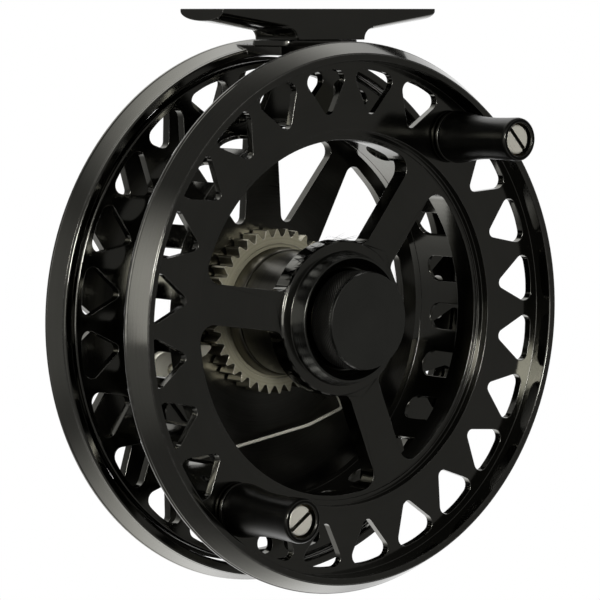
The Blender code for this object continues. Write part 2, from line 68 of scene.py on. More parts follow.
ROUND = 192                  # sides of the large turned pieces
MEDIUM = 96                  # sides of the hub, gear and grips
SMALL = 64                   # sides of the shaft, bearings and screws
PIN = 48                     # sides of the short pins and heads
FINE_PIN = 32                # sides of the thinnest pins
EDGE = 0.16                  # usual broken edge, mm
OWN_FINISH_AND_SHADE = 2               # material index of faces with a finish of their own, and of screw slots painted dark as painted shade
SPOOL_TURN = 52.0            # angle of the first handle, degrees from +X
HOLES = 24                   # positions round each spool flange
HANDLE_RADIUS = 47.6         # the handles' screws from the axis
ARBOR_INNER, ARBOR_OUTER = 40.5, 41.4
GEAR_TIP = 17.8              # radius over the gear's teeth
PIN_BACK = 32.7              # y where the pins stop, just short of the back plate
BACKDROP = 0.9               # radiance behind the reel at its own height
OVERHEAD = 1.7               # what is added high and low behind it
ROOM = 0.17                  # radiance of the room in front
LEFT_SPILL = 0.28            # extra radiance straight to the left


# ---- materials --------------------------------------------------------------
def new_material(name):
    mat = bpy.data.materials.new(name)
    mat.use_nodes = True
    return mat, mat.node_tree.nodes, mat.node_tree.links


def noise(nodes, links, vector, scale, detail, rough=0.5):
    node = nodes.new("ShaderNodeTexNoise")
    node.inputs["Scale"].default_value = scale
    node.inputs["Detail"].default_value = detail
    node.inputs["Roughness"].default_value = rough
    links.new(vector, node.inputs["Vector"])
    return node.outputs["Fac"]


def colour_ramp(nodes, links, value, low, high, dark=(0, 0, 0), light=(1, 1, 1)):
    node = nodes.new("ShaderNodeValToRGB")
    first, last = node.color_ramp.elements
    first.position, last.position = low, high
    first.color, last.color = (*dark, 1), (*light, 1)
    links.new(value, node.inputs[0])
    return node.outputs[0]


def metal(name, colour, shade, rough, line_scale, bump, wear=0.0, aniso=0.0,
          rough_swing=0.1, metallic=1.0):
    """Machined metal: rings or hoops about the piece's own Y axis, and faint smudges."""
    mat, nodes, links = new_material(name)
    shader = nodes["Principled BSDF"]
    shader.inputs["Metallic"].default_value = metallic
    shader.inputs["Anisotropic"].default_value = aniso
    coords = nodes.new("ShaderNodeTexCoord")
    flat = nodes.new("ShaderNodeVectorMath")
    flat.operation = "MULTIPLY"
    flat.inputs[1].default_value = (1, 0, 1)
    links.new(coords.outputs["Object"], flat.inputs[0])
    radius = nodes.new("ShaderNodeVectorMath")
    radius.operation = "LENGTH"
    links.new(flat.outputs[0], radius.inputs[0])
    parts = nodes.new("ShaderNodeSeparateXYZ")
    links.new(coords.outputs["Object"], parts.inputs[0])
    rings = nodes.new("ShaderNodeCombineXYZ")
    links.new(radius.outputs["Value"], rings.inputs[0])
    links.new(parts.outputs["Y"], rings.inputs[1])
    lines = noise(nodes, links, rings.outputs[0], line_scale, 5.0, rough=0.7)
    smudge = noise(nodes, links, coords.outputs["Object"], 90.0, 4.0)
    both = nodes.new("ShaderNodeMix")
    both.data_type = "FLOAT"
    both.inputs[0].default_value = 0.5
    links.new(smudge, both.inputs[2])
    links.new(lines, both.inputs[3])
    roughness = nodes.new("ShaderNodeMapRange")
    roughness.inputs["From Min"].default_value = 0.3
    roughness.inputs["From Max"].default_value = 0.7
    roughness.inputs["To Min"].default_value = rough - rough_swing / 2
    roughness.inputs["To Max"].default_value = rough + rough_swing / 2
    links.new(both.outputs[0], roughness.inputs["Value"])
    links.new(roughness.outputs[0], shader.inputs["Roughness"])
    tone = colour_ramp(nodes, links, both.outputs[0], 0.35, 0.65, shade, colour)
    if wear:
        spots = noise(nodes, links, coords.outputs["Object"], 700.0, 6.0)
        worn = nodes.new("ShaderNodeMix")
        worn.data_type = "RGBA"
        worn.inputs[7].default_value = (wear, wear * 0.97, wear * 0.9, 1)
        links.new(colour_ramp(nodes, links, spots, 0.5, 0.62), worn.inputs[0])
        links.new(tone, worn.inputs[6])
        tone = worn.outputs[2]
    links.new(tone, shader.inputs["Base Color"])
    height = nodes.new("ShaderNodeBump")
    height.inputs["Strength"].default_value = bump
    height.inputs["Distance"].default_value = 0.04 * MM
    links.new(lines, height.inputs["Height"])
    links.new(height.outputs[0], shader.inputs["Normal"])
    return mat


BLACK = metal("black_anodised_turned", (0.1, 0.098, 0.087), (0.086, 0.085, 0.075),
              0.12, 2600.0, 0.05, rough_swing=0.06)
BLACK_EDGE = metal("black_anodised_edge", (0.11, 0.108, 0.097), (0.09, 0.088, 0.078),
                   0.14, 2600.0, 0.03, wear=0.13)
SATIN = metal("black_anodised_satin_face", (0.1, 0.1, 0.09), (0.08, 0.08, 0.072),
              0.24, 4200.0, 0.15, aniso=0.5)
DULL = metal("black_anodised_dull", (0.08, 0.077, 0.066), (0.045, 0.043, 0.036), 0.32, 2600.0,
             0.1)
PLATE = metal("black_anodised_plate", (0.085, 0.083, 0.073), (0.06, 0.058, 0.05), 0.3, 2600.0,
              0.06)
KNURL = metal("black_anodised_knurl", (0.05, 0.049, 0.044), (0.035, 0.034, 0.03), 0.4,
              2600.0, 0.05)
GRIP = metal("black_anodised_grip", (0.024, 0.0235, 0.021), (0.014, 0.0137, 0.012), 0.34,
             3400.0, 0.06)
STEEL = metal("machined_steel", (0.54, 0.51, 0.37), (0.36, 0.335, 0.235), 0.42, 3000.0, 0.3,
              metallic=0.45)
STEEL_EDGE = metal("machined_steel_edge", (0.8, 0.77, 0.65), (0.7, 0.66, 0.54), 0.35, 3000.0,
                   0.1, metallic=0.5)
FLANK = metal("machined_steel_flank", (0.38, 0.36, 0.28), (0.26, 0.245, 0.19), 0.3, 3000.0,
              0.15)
# Dark steel: the collar's own colour, and painted shade in the handle screws' slots.
DARK_STEEL_AND_SLOT_SHADE = metal("dark_turned_steel_and_slot_shade", (0.16, 0.15, 0.12), (0.08, 0.076, 0.06), 0.34, 2600.0,
                   0.2)
NICKEL = metal("bright_nickel", (0.9, 0.87, 0.76), (0.78, 0.75, 0.64), 0.3, 3400.0, 0.05,
               metallic=0.4)
BRASS = metal("turned_brass", (0.72, 0.58, 0.32), (0.6, 0.46, 0.24), 0.25, 3400.0, 0.2)
POLISHED = metal("polished_steel", (0.86, 0.83, 0.7), (0.76, 0.73, 0.6), 0.3, 2600.0, 0.05,
                 metallic=0.4)


# ---- shape helpers (millimetres about the reel's axis) -----------------------
def polar(radius, degrees):
    a = math.radians(degrees)
    return (radius * math.cos(a), radius * math.sin(a))


def spun(outline, degrees):
    c, s = polar(1, degrees)
    return [(x * c - z * s, x * s + z * c) for x, z in outline]


def bar(half_length, half_width):
    """Outline of a screwdriver slot."""
    return [(-half_length, -half_width), (half_length, -half_width),
            (half_length, half_width), (-half_length, half_width)]


def rounded(points, radii, steps=8):
    """Fillet each corner of an outline, with one radius for all or one for each."""
    out = []
    count = len(points)
    for i, point in enumerate(points):
        here = Vector(point)
        to_last = (Vector(points[i - 1]) - here).normalized()
        to_next = (Vector(points[(i + 1) % count]) - here).normalized()
        half = to_last.angle(to_next) / 2
        radius = radii[i] if isinstance(radii, (list, tuple)) else radii
        reach = radius / math.tan(half)
        centre = here + (to_last + to_next).normalized() * (radius / math.sin(half))
        first = here + to_last * reach - centre
        last = here + to_next * reach - centre
        sweep = first.angle_signed(last)
        for n in range(steps + 1):
            spot = centre + Matrix.Rotation(-sweep * n / steps, 2) @ first
            out.append((spot.x, spot.y))
    return out


def turned_mesh(profile, sides):
    """Spin a closed (radius, y) outline about the Y axis."""
    bm = bmesh.new()
    rings = []
    for radius, y in profile:
        if radius == 0:
            rings.append([bm.verts.new((0, y, 0))])
            continue
        rings.append([bm.verts.new((radius * math.cos(2 * math.pi * i / sides), y,
                                    radius * math.sin(2 * math.pi * i / sides)))
                      for i in range(sides)])
    for n in range(len(rings)):
        a, b = rings[n], rings[(n + 1) % len(rings)]
        for i in range(sides):
            j = (i + 1) % sides
            if len(a) == 1 and len(b) == 1:
                break
            if len(a) == 1:
                bm.faces.new((a[0], b[j], b[i]))
            elif len(b) == 1:
                bm.faces.new((a[i], a[j], b[0]))
            else:
                bm.faces.new((a[i], a[j], b[j], b[i]))
    return bm


def ring_profile(inner, outer, front, back):
    return [(inner, front), (outer, front), (outer, back), (inner, back)]


def rod_profile(radius, front, back):
    return [(0, front), (radius, front), (radius, back), (0, back)]


def prism_into(bm, outline, front, back, to_point=None):
    """Add the solid from front to back over an outline; to_point places each (u, v, w)."""
    place = to_point or (lambda u, v, w: (u, w, v))
    near = [bm.verts.new(place(u, v, front)) for u, v in outline]
    far = [bm.verts.new(place(u, v, back)) for u, v in outline]
    bm.faces.new(near)
    bm.faces.new(list(reversed(far)))
    for i in range(len(outline)):
        j = (i + 1) % len(outline)
        bm.faces.new((near[j], near[i], far[i], far[j]))


def prism_mesh(outlines, front, back):
    bm = bmesh.new()
    for outline in outlines:
        prism_into(bm, outline, front, back)
    return bm


def upright_mesh(outline, low, high):
    bm = bmesh.new()
    prism_into(bm, outline, low, high, lambda u, v, w: (u, v, w))
    return bm


def skin(bm, loops):
    """Join each closed loop of vertices to the next."""
    for a, b in zip(loops, loops[1:]):
        for i in range(len(a)):
            j = (i + 1) % len(a)
            bm.faces.new((a[i], a[j], b[j], b[i]))


def paint(bm, chosen):
    """Give each face whose middle and normal pass the test a finish of its own; the screw slots
    get painted shade this way.
    """
    for face in bm.faces:
        if chosen(face.calc_center_median(), face.normal):
            face.material_index = OWN_FINISH_AND_SHADE


def off_axis(spot):
    return math.hypot(spot.x, spot.z)


def temporary(bm):
    bmesh.ops.recalc_face_normals(bm, faces=bm.faces)
    mesh = bpy.data.meshes.new("temporary")
    bm.to_mesh(mesh)
    bm.free()
    thing = bpy.data.objects.new("temporary", mesh)
    bpy.context.collection.objects.link(thing)
    return thing


def carved(bm, steps):
    """Apply (operation, mesh) Boolean steps in turn and give back a mesh."""
    body = temporary(bm)
    tools = [temporary(tool) for _, tool in steps]
    for (operation, _), tool in zip(steps, tools):
        step = body.modifiers.new("step", "BOOLEAN")
        step.operation = operation
        step.solver = "EXACT"
        step.object = tool
    graph = bpy.context.evaluated_depsgraph_get()
    out = bmesh.new()
    out.from_mesh(body.evaluated_get(graph).to_mesh())
    for thing in [body, *tools]:
        bpy.data.objects.remove(thing)
    return out


def soften(bm, width=EDGE, segments=2, sharp=32.0, merge=True):
    """Clean flat faces, then break every sharp edge; the broken edge is material 1."""
    bmesh.ops.remove_doubles(bm, verts=bm.verts, dist=0.0005)
    if merge:
        bmesh.ops.dissolve_limit(bm, angle_limit=math.radians(0.25), verts=bm.verts,
                                 edges=bm.edges, delimit=set())
    bmesh.ops.recalc_face_normals(bm, faces=bm.faces)
    edges = [e for e in bm.edges
             if len(e.link_faces) == 2 and e.calc_face_angle() > math.radians(sharp)]
    bmesh.ops.bevel(bm, geom=edges, offset=width, offset_type="OFFSET", segments=segments,
                    profile=0.5, affect="EDGES", clamp_overlap=False, material=1,
                    loop_slide=True)
    return bm


def piece(name, bm, body, nodes, mats, place=(0, 0, 0)):
    """Make a shown piece from a millimetre mesh, with its origin at place from the axis."""
    bmesh.ops.recalc_face_normals(bm, faces=bm.faces)
    bmesh.ops.scale(bm, vec=(MM, MM, MM), verts=bm.verts)
    mesh = bpy.data.meshes.new(name)
    bm.to_mesh(mesh)
    bm.free()
    mesh.shade_smooth()
    for mat in mats:
        mesh.materials.append(mat)
    thing = bpy.data.objects.new(name, mesh)
    thing.location = AXIS + Vector(place) * MM
    bpy.context.collection.objects.link(thing)
    smooth = thing.modifiers.new("even_normals", "WEIGHTED_NORMAL")
    smooth.mode = "FACE_AREA"
    smooth.weight = 80
    smooth.keep_sharp = False
    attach(thing, body)
    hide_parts(*nodes)
    return thing


def black(name, bm, body, nodes, place=(0, 0, 0), main=BLACK):
    return piece(name, bm, body, nodes, [main, BLACK_EDGE], place)


# ---- spool -------------------------------------------------------------------
def flange_hole():
    corners = [(42.15, 0), (51.9, 6.4), (52.6, 0), (51.9, -6.4)]
    return rounded(corners, [1.3, 1.9, 20.0, 1.9], steps=7)


def hole_outlines(skip=()):
    return [spun(flange_hole(), SPOOL_TURN + 360 * n / HOLES)
            for n in range(HOLES) if n not in skip]


def spoke_window(width=8.4, outer=37.5, hub=16.4, outer_fillet=3.2, hub_fillet=2.4):
    half = width / 2
    out_x = math.sqrt((outer - outer_fillet) ** 2 - (half + outer_fillet) ** 2)
    out_angle = math.degrees(math.atan2(half + outer_fillet, out_x))
    hub_x = math.sqrt((hub + hub_fillet) ** 2 - (half + hub_fillet) ** 2)
    hub_angle = math.degrees(math.atan2(half + hub_fillet, hub_x))

    def fillet(cx, cz, radius, start, end, steps=9):
        return [(cx + polar(radius, start + (end - start) * n / steps)[0],
                 cz + polar(radius, start + (end - start) * n / steps)[1])
                for n in range(steps + 1)]

    lower = fillet(hub_x, half + hub_fillet, hub_fillet, 180 + hub_angle, 270)
    lower += fillet(out_x, half + outer_fillet, outer_fillet, 270, 360 + out_angle)
    upper = spun([(x, -z) for x, z in reversed(lower)], 120)
    first, last = out_angle, 120 - out_angle
    outer_arc = [polar(outer, first + (last - first) * n / 44) for n in range(1, 44)]
    first, last = 120 - hub_angle, hub_angle
    hub_arc = [polar(hub, first + (last - first) * n / 24) for n in range(1, 24)]
    return lower + outer_arc + upper + hub_arc


def make_front_flange():
    profile = [
        (4.3, 8.3), (9.4, 8.3), (9.4, 5.2), (11.0, 5.2), (12.8, 2.8), (13.3, 2.8),
        (14.2, 5.6), (14.2, 6.1), (16.1, 6.1), (16.4, 6.6), (38.4, 6.6), (38.4, 6.1),
        (39.5, 6.1), (39.5, 4.4), (54.0, 4.4), (54.0, 0.25), (54.25, 0), (55.4, 0),
        (55.4, 0.22), (55.65, 0.22), (57.75, 4.1), (57.75, 4.3), (58.0, 4.5), (58.0, 4.9),
        (57.6, 5.7), (56.8, 6.2), (ARBOR_OUTER, 6.2), (ARBOR_OUTER, 12.0), (36.9, 12.0),
        (36.9, 10.6), (15.4, 10.6), (15.4, 12.0), (4.3, 12.0)]
    holes = prism_mesh(hole_outlines(skip=(0, HOLES // 2)), 3.4, 7.2)
    windows = prism_mesh([spun(spoke_window(), SPOOL_TURN + 120 * n) for n in range(3)], 2, 14)
    bm = carved(turned_mesh(profile, ROUND), [("DIFFERENCE", holes), ("DIFFERENCE", windows)])
    bm = soften(bm, 0.14, merge=False)
    paint(bm, lambda middle, _: 10.8 < off_axis(middle) < 14.3 and middle.y < 5.7)
    flange = black("spool_face", bm, "spool", ["spool_front_flange"])
    flange.data.materials.append(SATIN)


def make_arbor():
    """Drum with open-ended slots that lag the flange's half pitch a little."""
    slots = bmesh.new()
    half, slot_end, slot_lag = 2.85, 21.4, 3.5
    outline = [(-half, 11.0), (half, 11.0)]
    outline += [(x, slot_end + y) for x, y in (polar(half, 15 * k) for k in range(13))]
    for n in range(HOLES):
        turn = SPOOL_TURN + 360 * (n + 0.5) / HOLES - slot_lag
        c, s = polar(1, turn)
        prism_into(slots, outline, 37.0, 44.0,
                   lambda u, v, w, c=c, s=s: (w * c - u * s, v, w * s + u * c))
    drum = turned_mesh(ring_profile(ARBOR_INNER, ARBOR_OUTER, 12.04, 27.26), ROUND)
    bm = carved(drum, [("DIFFERENCE", slots)])
    black("arbor_drum", soften(bm, 0.12), "spool", ["spool_arbor"])


def make_rear_flange():
    profile = [(ARBOR_INNER, 27.3), (53.6, 27.3), (54.0, 27.7), (54.0, 29.3),
               (ARBOR_INNER, 29.3)]
    bm = carved(turned_mesh(profile, ROUND),
                [("DIFFERENCE", prism_mesh(hole_outlines(), 26, 31))])
    black("rear_flange", soften(bm, 0.14), "spool", ["spool_rear_flange"])


def make_hub():
    hub = turned_mesh(ring_profile(7.3, 13.2, 12.3, 24.2), MEDIUM)
    black("hub_tube", soften(hub, 0.1), "spool", ["spool_hub"], main=DULL)
    collar = turned_mesh([(4.6, 24.5), (13.3, 24.5), (13.6, 25.0), (13.7, 26.6), (13.9, 27.5),
                          (4.6, 27.5)], MEDIUM)
    piece("collar", soften(collar, 0.08), "spool", ["gear_collar"],
          [DARK_STEEL_AND_SLOT_SHADE, DARK_STEEL_AND_SLOT_SHADE])
    for name, front, back in (("front_race", 12.7, 16.7), ("rear_race", 20.0, 24.0)):
        race = turned_mesh(ring_profile(3.6, 7.0, front, back), SMALL)
        piece(name, soften(race, 0.1), "spool", [name.replace("race", "bearing")],
              [POLISHED, STEEL_EDGE])
    spacer = turned_mesh(ring_profile(4.6, 7.0, 17.0, 19.7), SMALL)
    black("race_spacer", soften(spacer, 0.1), "spool", ["bearing_spacer"])


def gear_outline(teeth=40, tip=GEAR_TIP, root=16.1, phase=1.0):
    """Straight-flanked teeth with a rounded root."""
    out = []
    pitch = 360 / teeth
    for n in range(teeth):
        mid = phase + n * pitch
        for radius, share in ((root, -0.5), (root + 0.12, -0.38), (root + 0.5, -0.3),
                              (tip - 0.25, -0.13), (tip, -0.09), (tip, 0.09),
                              (tip - 0.25, 0.13), (root + 0.5, 0.3), (root + 0.12, 0.38)):
            out.append(polar(radius, mid + share * pitch))
    return out


def make_gear():
    """Click gear: a bored wheel with a shallow recess in its front face."""
    bore = turned_mesh(rod_profile(9.5, 26, 34), MEDIUM)
    recess = turned_mesh([(0, 27.0), (14.6, 27.0), (14.6, 28.05), (14.2, 28.25), (0, 28.25)],
                         MEDIUM)
    bm = carved(prism_mesh([gear_outline()], 27.8, 32.4),
                [("DIFFERENCE", bore), ("DIFFERENCE", recess)])
    bm = soften(bm, 0.07, segments=1, sharp=42)
    bm.normal_update()
    paint(bm, lambda _, normal: abs(normal.y) < 0.3)
    piece("toothed_wheel", bm, "spool", ["click_gear"], [STEEL, STEEL_EDGE, FLANK])
    for n in range(3):
        x, z = polar(11.6, SPOOL_TURN + 60 + 120 * n)
        screw = turned_mesh(rod_profile(1.0, 26.0, 32.0), FINE_PIN)
        piece(f"wheel_screw_{n + 1}", soften(screw, 0.08), "spool", [f"gear_screw_{n + 1}"],
              [NICKEL, NICKEL], place=(x, 0, z))


# ---- handles -----------------------------------------------------------------
def curve_through(points, steps=6):
    """Smooth (radius, y) run through points, by Catmull-Rom."""
    out = []
    ends = [points[0], *points, points[-1]]
    for a, b, c, d in zip(ends, ends[1:], ends[2:], ends[3:]):
        for n in range(steps):
            t = n / steps
            out.append(tuple(0.5 * (2 * q + (r - p) * t + (2 * p - 5 * q + 4 * r - s) * t * t
                                    + (3 * q - p - 3 * r + s) * t ** 3)
                             for p, q, r, s in zip(a, b, c, d)))
    out.append(points[-1])
    return out


def make_handle(number, angle, slot_angle):
    """Grip and bush that turn on a slotted screw fixed to the spool."""
    x, z = polar(HANDLE_RADIUS, angle)
    side = curve_through([(5.6, 2.6), (5.45, 1.2), (5.0, -1.4), (4.6, -4.2), (4.42, -7.6),
                          (4.45, -11.5), (4.6, -15.6)])
    grip = [(2.85, 3.1), (5.35, 3.1)] + side
    grip += [(4.5, -16.1), (4.25, -16.4), (3.65, -16.4), (3.45, -16.2), (3.45, -13.0),
             (2.85, -13.0)]
    bm = turned_mesh(grip, MEDIUM)
    black(f"grip_{number}", soften(bm, 0.08), f"handle_{number}", [f"handle_{number}_grip"],
          place=(x, 0, z), main=GRIP)
    bush = [(2.0, 2.8), (2.8, 2.8), (2.8, -13.3), (3.35, -13.3), (3.35, -14.6), (3.1, -14.6),
            (3.1, -13.9), (2.0, -13.9)]
    piece(f"bush_{number}", soften(turned_mesh(bush, SMALL), 0.05), f"handle_{number}",
          [f"handle_{number}_bush"], [BRASS, BRASS], place=(x, 0, z))
    head = [(0, -15.75), (2.55, -15.75), (2.95, -15.55), (3.05, -15.3), (3.05, -14.2),
            (1.9, -14.2), (1.9, 6.1), (0, 6.1)]
    slot = prism_mesh([spun(bar(4, 0.42), slot_angle)], -17, -14.8)
    bm = soften(carved(turned_mesh(head, SMALL), [("DIFFERENCE", slot)]), 0.06)
    # The slot's walls and floor are painted dark steel: painted shade in the slot of the nickel
    # head.
    paint(bm, lambda middle, _: -15.66 < middle.y < -14.7 and off_axis(middle) < 2.75)
    piece(f"slotted_screw_{number}", bm, "spool", [f"handle_{number}_screw"],
          [NICKEL, NICKEL, DARK_STEEL_AND_SLOT_SHADE], place=(x, 0, z))
    washer = turned_mesh(ring_profile(2.2, 5.5, 3.4, 4.1), SMALL)
    black(f"washer_{number}", soften(washer, 0.12), "spool", [f"handle_{number}_washer"],
          place=(x, 0, z), main=DULL)


# ---- knob --------------------------------------------------------------------
def tooth_wave(t):
    return abs((t % 1.0) - 0.5) * 2


def make_knob(count=92, start=-1.55, end=4.1, depth=0.26, outer=10.5):
    """Flat turned face and a diamond-knurled side."""
    bm = bmesh.new()
    around = count * 4
    pitch = 2 * math.pi * outer / count
    rows = int((end - start) / pitch * 4)
    rings = []
    for radius, y in ((9.9, -2.2), (10.1, -2.1), (outer - depth, start - 0.1)):
        rings.append([(radius, y)] * around)
    for row in range(rows + 1):
        y = start + (end - start) * row / rows
        ring = []
        for i in range(around):
            u, v = i / 4, (y - start) / pitch
            rise = min(tooth_wave(u + v), tooth_wave(u - v))
            fade = min(1.0, row / 3, (rows - row) / 3)
            ring.append((outer - depth + depth * rise * (0.35 + 0.65 * fade), y))
        rings.append(ring)
    rings.append([(outer - depth - 0.1, end + 0.2)] * around)
    rings.append([(5.5, end + 0.2)] * around)
    rings.append([(5.5, -0.4)] * around)
    loops = []
    for ring in rings:
        loops.append([bm.verts.new((r * math.cos(2 * math.pi * i / around), y,
                                    r * math.sin(2 * math.pi * i / around)))
                      for i, (r, y) in enumerate(ring)])
    skin(bm, loops)
    front = bm.verts.new((0, -2.2, 0))
    back = bm.verts.new((0, -0.4, 0))
    for i in range(around):
        j = (i + 1) % around
        bm.faces.new((loops[0][j], loops[0][i], front))
        bm.faces.new((loops[-1][i], loops[-1][j], back))
    paint(bm, lambda middle, _: start <= middle.y <= end and off_axis(middle) > outer - 1)
    knob = black("knurled_knob", bm, "knob", ["spool_knob"], main=SATIN)
    knob.data.materials.append(KNURL)
    knob.data.set_sharp_from_angle(angle=math.radians(22))
    knob.modifiers.remove(knob.modifiers["even_normals"])


# ---- frame -------------------------------------------------------------------
def make_frame_ring():
    profile = [(55.4, 26.5), (56.8, 26.5), (57.0, 26.7), (57.15, 27.2), (57.05, 27.35),
               (58.25, 30.7), (58.5, 31.1), (58.5, 31.5), (55.6, 34.5), (55.6, 35.5),
               (54.9, 35.5), (54.9, 28.4), (55.15, 28.2), (55.15, 26.9)]
    bridge = upright_mesh([(-9.5, 15.1), (9.5, 15.1), (9.5, 30.0), (-9.5, 30.0)], 55.2, 57.2)
    pad = upright_mesh(rounded([(-9.9, 12.6), (9.9, 12.6), (9.9, 25.8), (-9.9, 25.8)],
                               [1.5, 1.5, 2.5, 2.5], steps=6), 57.0, 58.26)
    bm = carved(turned_mesh(profile, ROUND), [("UNION", bridge), ("UNION", pad)])
    black("outer_frame", soften(bm, 0.16), "frame", ["frame_ring"])


def make_back_plate():
    profile = [(5.3, 33.0), (54.6, 33.0), (54.6, 35.2), (13.2, 35.2), (12.4, 36.2),
               (5.3, 36.2)]
    outer = rounded([(43.4, 0), (51.8, 6.4), (52.4, 0), (51.8, -6.4)],
                    [1.4, 1.7, 20.0, 1.7], steps=7)
    outlines = [spun(outer, 18 * n) for n in range(20)]
    for angle, half in ((2, 10.2), (37, 10.2), (72, 8.6), (108, 8.6), (143, 10.2),
                        (178, 10.2)):
        inner = rounded([(17.0, 0), (38.9, half), (40.4, 0), (38.9, -half)],
                        [1.6, 2.2, 25.0, 2.2], steps=7)
        outlines.append(spun(inner, angle))
    bm = carved(turned_mesh(profile, ROUND), [("DIFFERENCE", prism_mesh(outlines, 32, 38))])
    black("pierced_back", soften(bm, 0.18), "frame", ["back_plate"], main=PLATE)


def make_foot():
    """Crowned tapering wings blended into the stem."""
    top = FOOT_HIGH.z / MM - AXIS.z / MM
    front = FOOT_LOW.y / MM - AXIS.y / MM
    half_width = 7.2
    middle = front + half_width
    half_length = (FOOT_HIGH.x - FOOT_LOW.x) / MM / 2
    stem_half, stem_depth = 9.3, 15.6
    stations = []
    for n in range(25):
        t = n / 24
        x = -half_length + (half_length - stem_half) * t
        lift = 0.5 + 3.1 * t ** 0.95 + 0.9 * max(0.0, t - 0.86) ** 2 / 0.14
        crown = 2.5 + 2.7 * t ** 1.05
        stations.append((x, lift, crown))
    stations += [(-x, lift, crown) for x, lift, crown in reversed(stations)]
    bm = bmesh.new()
    loops = []
    arc = 28
    for x, edge, deep in stations:
        loop = [bm.verts.new((x, middle - half_width, top)),
                bm.verts.new((x, middle + half_width, top))]
        for n in range(arc + 1):
            across = math.cos(math.pi * n / arc)
            depth = edge + (deep - edge) * math.sqrt(max(0.0, 1 - across ** 2))
            loop.append(bm.verts.new((x, middle + half_width * across, top - depth)))
        loops.append(loop)
    skin(bm, loops)
    bm.faces.new(loops[0])
    bm.faces.new(list(reversed(loops[-1])))
    fillet, under = 2.4, top - 4.0
    levels = [(58.3, 0.0)]
    for n in range(9):
        a = math.radians(90 * n / 8)
        levels.append((under - fillet + fillet * math.sin(a), fillet * (1 - math.cos(a))))
    levels.append((top - 2.0, fillet))
    stem = bmesh.new()
    loops = []
    for z, flare in levels:
        half = stem_half + flare
        outline = rounded([(-half, front), (half, front), (half, front + stem_depth),
                           (-half, front + stem_depth)], [0.5, 0.5, 2.5, 2.5], steps=6)
        loops.append([stem.verts.new((x, y, z)) for x, y in outline])
    skin(stem, loops)
    stem.faces.new(list(reversed(loops[0])))
    stem.faces.new(loops[-1])
    bm = carved(bm, [("UNION", stem)])
    black("foot", soften(bm, 0.14, sharp=30), "frame", ["reel_foot"])
    for number, x in enumerate((-5.0, 5.0), start=1):
        y = front + half_width + 1.6
        bm = turned_mesh([(0, 0), (2.2, 0), (2.2, 0.9), (1.3, 0.9), (1.3, 5.8), (0, 5.8)],
                         PIN)
        bmesh.ops.rotate(bm, matrix=Matrix.Rotation(math.radians(90), 3, "X"),
                         verts=bm.verts)
        piece(f"foot_bolt_{number}", soften(bm, 0.1), "frame", [f"foot_screw_{number}"],
              [NICKEL, NICKEL], place=(x, y, 56.0))


def make_spindle():
    profile = [(0, 0.4), (3.5, 0.4), (3.5, 28.2), (8.4, 28.2), (8.4, PIN_BACK), (5.0, PIN_BACK),
               (5.0, 39.2), (0, 39.2)]
    piece("spindle_shaft", soften(turned_mesh(profile, SMALL), 0.15), "frame", ["spindle"],
          [POLISHED, STEEL_EDGE])
    washer = turned_mesh(ring_profile(5.3, 9.5, 36.5, 37.3), SMALL)
    piece("rear_washer", soften(washer, 0.12), "frame", ["spindle_washer"],
          [NICKEL, NICKEL])
    nut = prism_mesh([[polar(9.4686, 60 * n) for n in range(6)]], 37.6, 39.8)
    crown = turned_mesh([(0, 30), (12, 30), (12, 38.9), (8.5, 41.0), (0, 41.0)], SMALL)
    bore = turned_mesh(rod_profile(5.3, 35, 42), SMALL)
    bm = carved(nut, [("INTERSECT", crown), ("DIFFERENCE", bore)])
    black("rear_nut", soften(bm, 0.12), "frame", ["spindle_nut"])


